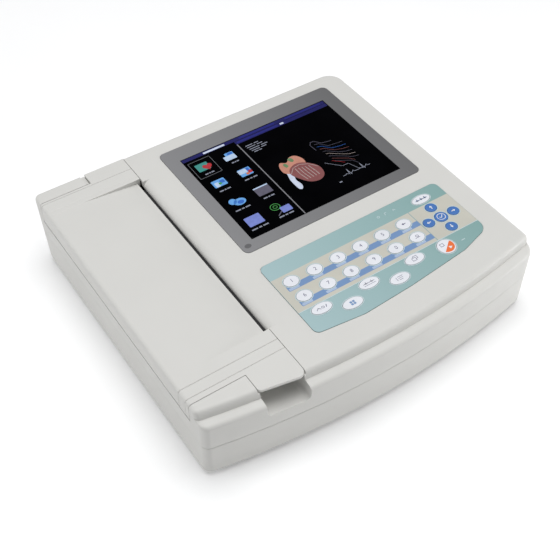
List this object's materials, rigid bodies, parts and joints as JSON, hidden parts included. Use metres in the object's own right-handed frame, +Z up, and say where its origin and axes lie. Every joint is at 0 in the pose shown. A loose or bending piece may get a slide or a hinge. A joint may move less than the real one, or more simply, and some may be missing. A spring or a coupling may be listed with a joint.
{
  "type": "ecg machine",
  "caption": "Desktop ECG recorder: flat case with colour display, membrane keypad and a side-hinged door over a roll-paper thermal printer.",
  "frame": {"origin": "on the desk under the middle of the case's outer box", "axes": "+X to the user's right, +Y to the rear, +Z up; the user stands at -Y"},
  "size_m": [0.352, 0.33, 0.0811],
  "materials": {
    "casing": "fine spark-eroded texture, satin",
    "bezel": "satin",
    "screen": "glossy, dark",
    "membrane": "printed polyester film, satin",
    "key_white": "printed film dome, satin",
    "key_blue": "printed film dome, satin",
    "key_orange": "printed film dome, satin",
    "rubber": "matte",
    "steel": "turned",
    "brass": "turned",
    "nylon": "moulded",
    "circuit_board": "solder mask",
    "black_plastic": "moulded",
    "paper": "thermal paper, rolled",
    "ceramic": "glazed",
    "alloy": "extruded",
    "battery_wrap": "shrink film"
  },
  "bodies": {
    "case": {"upper_casing": "casing", "lower_casing": "casing", "battery_door": "casing", "foot_front_left": "rubber", "foot_front_right": "rubber", "foot_rear_left": "rubber", "foot_rear_right": "rubber", "display_bezel": "bezel", "display_lens": "screen", "display_module": "alloy", "keypad_membrane": "membrane", "keypad_board": "circuit_board", "hinge_rod": "steel", "stepper_motor": "black_plastic", "paper_tray": "black_plastic", "thermal_print_head": "ceramic", "head_bracket": "alloy", "mainboard": "circuit_board", "power_supply_board": "circuit_board", "battery_pack": "battery_wrap", "port_panel": "casing", "mains_inlet": "black_plastic", "fuse_cap": "black_plastic", "equipotential_post": "brass", "lead_connector": "steel", "usb_port": "steel", "network_port": "steel"},
    "door": {"printer_door": "casing"},
    "platen": {"platen_shaft": "steel", "platen_sleeve": "rubber", "platen_gear": "nylon"},
    "drive_gear": {"drive_gear": "nylon"},
    "motor_rotor": {"motor_pinion": "brass"},
    "paper": {"paper_roll": "paper", "paper_core": "nylon"},
    "power_switch": {"power_switch": "black_plastic"},
    "key_1": {"key_1": "key_white"},
    "key_2": {"key_2": "key_white"},
    "key_3": {"key_3": "key_white"},
    "key_4": {"key_4": "key_white"},
    "key_5": {"key_5": "key_white"},
    "key_upper_function": {"key_upper_function": "key_white"},
    "key_6": {"key_6": "key_white"},
    "key_7": {"key_7": "key_white"},
    "key_8": {"key_8": "key_white"},
    "key_9": {"key_9": "key_white"},
    "key_0": {"key_0": "key_white"},
    "key_lower_function": {"key_lower_function": "key_white"},
    "key_mode": {"key_mode": "key_white"},
    "key_menu": {"key_menu": "key_white"},
    "key_lead": {"key_lead": "key_white"},
    "key_gain": {"key_gain": "key_white"},
    "key_copy": {"key_copy": "key_white"},
    "key_start_stop": {"key_start_stop": "key_orange"},
    "key_reset": {"key_reset": "key_white"},
    "key_ok": {"key_ok": "key_blue"},
    "key_right": {"key_right": "key_blue"},
    "key_left": {"key_left": "key_blue"},
    "key_up": {"key_up": "key_blue"},
    "key_down": {"key_down": "key_blue"}
  },
  "joints": [
    {"name": "door_hinge", "type": "hinge", "parent": "case", "child": "door", "pos_m": [-0.1732, 0, 0.0634], "axis": [0, -1, 0], "range_deg": [0, 85]},
    {"name": "platen_spin", "type": "hinge", "parent": "door", "child": "platen", "pos_m": [-0.0884, 0, 0.065], "axis": [0, -1, 0], "continuous": true},
    {"name": "drive_gear_spin", "type": "hinge", "parent": "case", "child": "drive_gear", "pos_m": [-0.0884, 0.1245, 0.05025], "axis": [0, -1, 0], "continuous": true},
    {"name": "motor_spin", "type": "hinge", "parent": "case", "child": "motor_rotor", "pos_m": [-0.07756, 0.13, 0.04179], "axis": [0, -1, 0], "continuous": true},
    {"name": "paper_spin", "type": "hinge", "parent": "case", "child": "paper", "pos_m": [-0.127, 0.012, 0.0365], "axis": [0, -1, 0], "continuous": true},
    {"name": "power_rocker", "type": "hinge", "parent": "case", "child": "power_switch", "pos_m": [0.062, 0.1605, 0.025], "axis": [1, 0, 0], "range_deg": [-8, 8]},
    {"name": "key_1_press", "type": "slide", "parent": "case", "child": "key_1", "axis": [0, 0, -1], "range_m": [0, 0.0007], "stiffness_N_per_m": 600},
    {"name": "key_2_press", "type": "slide", "parent": "case", "child": "key_2", "axis": [0, 0, -1], "range_m": [0, 0.0007], "stiffness_N_per_m": 600},
    {"name": "key_3_press", "type": "slide", "parent": "case", "child": "key_3", "axis": [0, 0, -1], "range_m": [0, 0.0007], "stiffness_N_per_m": 600},
    {"name": "key_4_press", "type": "slide", "parent": "case", "child": "key_4", "axis": [0, 0, -1], "range_m": [0, 0.0007], "stiffness_N_per_m": 600},
    {"name": "key_5_press", "type": "slide", "parent": "case", "child": "key_5", "axis": [0, 0, -1], "range_m": [0, 0.0007], "stiffness_N_per_m": 600},
    {"name": "key_upper_function_press", "type": "slide", "parent": "case", "child": "key_upper_function", "axis": [0, 0, -1], "range_m": [0, 0.0007], "stiffness_N_per_m": 600},
    {"name": "key_6_press", "type": "slide", "parent": "case", "child": "key_6", "axis": [0, 0, -1], "range_m": [0, 0.0007], "stiffness_N_per_m": 600},
    {"name": "key_7_press", "type": "slide", "parent": "case", "child": "key_7", "axis": [0, 0, -1], "range_m": [0, 0.0007], "stiffness_N_per_m": 600},
    {"name": "key_8_press", "type": "slide", "parent": "case", "child": "key_8", "axis": [0, 0, -1], "range_m": [0, 0.0007], "stiffness_N_per_m": 600},
    {"name": "key_9_press", "type": "slide", "parent": "case", "child": "key_9", "axis": [0, 0, -1], "range_m": [0, 0.0007], "stiffness_N_per_m": 600},
    {"name": "key_0_press", "type": "slide", "parent": "case", "child": "key_0", "axis": [0, 0, -1], "range_m": [0, 0.0007], "stiffness_N_per_m": 600},
    {"name": "key_lower_function_press", "type": "slide", "parent": "case", "child": "key_lower_function", "axis": [0, 0, -1], "range_m": [0, 0.0007], "stiffness_N_per_m": 600},
    {"name": "key_mode_press", "type": "slide", "parent": "case", "child": "key_mode", "axis": [0, 0, -1], "range_m": [0, 0.0007], "stiffness_N_per_m": 600},
    {"name": "key_menu_press", "type": "slide", "parent": "case", "child": "key_menu", "axis": [0, 0, -1], "range_m": [0, 0.0007], "stiffness_N_per_m": 600},
    {"name": "key_lead_press", "type": "slide", "parent": "case", "child": "key_lead", "axis": [0, 0, -1], "range_m": [0, 0.0007], "stiffness_N_per_m": 600},
    {"name": "key_gain_press", "type": "slide", "parent": "case", "child": "key_gain", "axis": [0, 0, -1], "range_m": [0, 0.0007], "stiffness_N_per_m": 600},
    {"name": "key_copy_press", "type": "slide", "parent": "case", "child": "key_copy", "axis": [0, 0, -1], "range_m": [0, 0.0007], "stiffness_N_per_m": 600},
    {"name": "key_start_stop_press", "type": "slide", "parent": "case", "child": "key_start_stop", "axis": [0, 0, -1], "range_m": [0, 0.0007], "stiffness_N_per_m": 600},
    {"name": "key_reset_press", "type": "slide", "parent": "case", "child": "key_reset", "axis": [0, 0, -1], "range_m": [0, 0.0007], "stiffness_N_per_m": 600},
    {"name": "key_ok_press", "type": "slide", "parent": "case", "child": "key_ok", "axis": [0, 0, -1], "range_m": [0, 0.0007], "stiffness_N_per_m": 600},
    {"name": "key_right_press", "type": "slide", "parent": "case", "child": "key_right", "axis": [0, 0, -1], "range_m": [0, 0.0007], "stiffness_N_per_m": 600},
    {"name": "key_left_press", "type": "slide", "parent": "case", "child": "key_left", "axis": [0, 0, -1], "range_m": [0, 0.0007], "stiffness_N_per_m": 600},
    {"name": "key_up_press", "type": "slide", "parent": "case", "child": "key_up", "axis": [0, 0, -1], "range_m": [0, 0.0007], "stiffness_N_per_m": 600},
    {"name": "key_down_press", "type": "slide", "parent": "case", "child": "key_down", "axis": [0, 0, -1], "range_m": [0, 0.0007], "stiffness_N_per_m": 600}
  ],
  "couplings": [
    {"joint": "drive_gear_spin", "follows": "platen_spin", "ratio": -0.70588},
    {"joint": "motor_spin", "follows": "platen_spin", "ratio": 1.2},
    {"joint": "paper_spin", "follows": "platen_spin", "ratio": 0.28636}
  ]
}
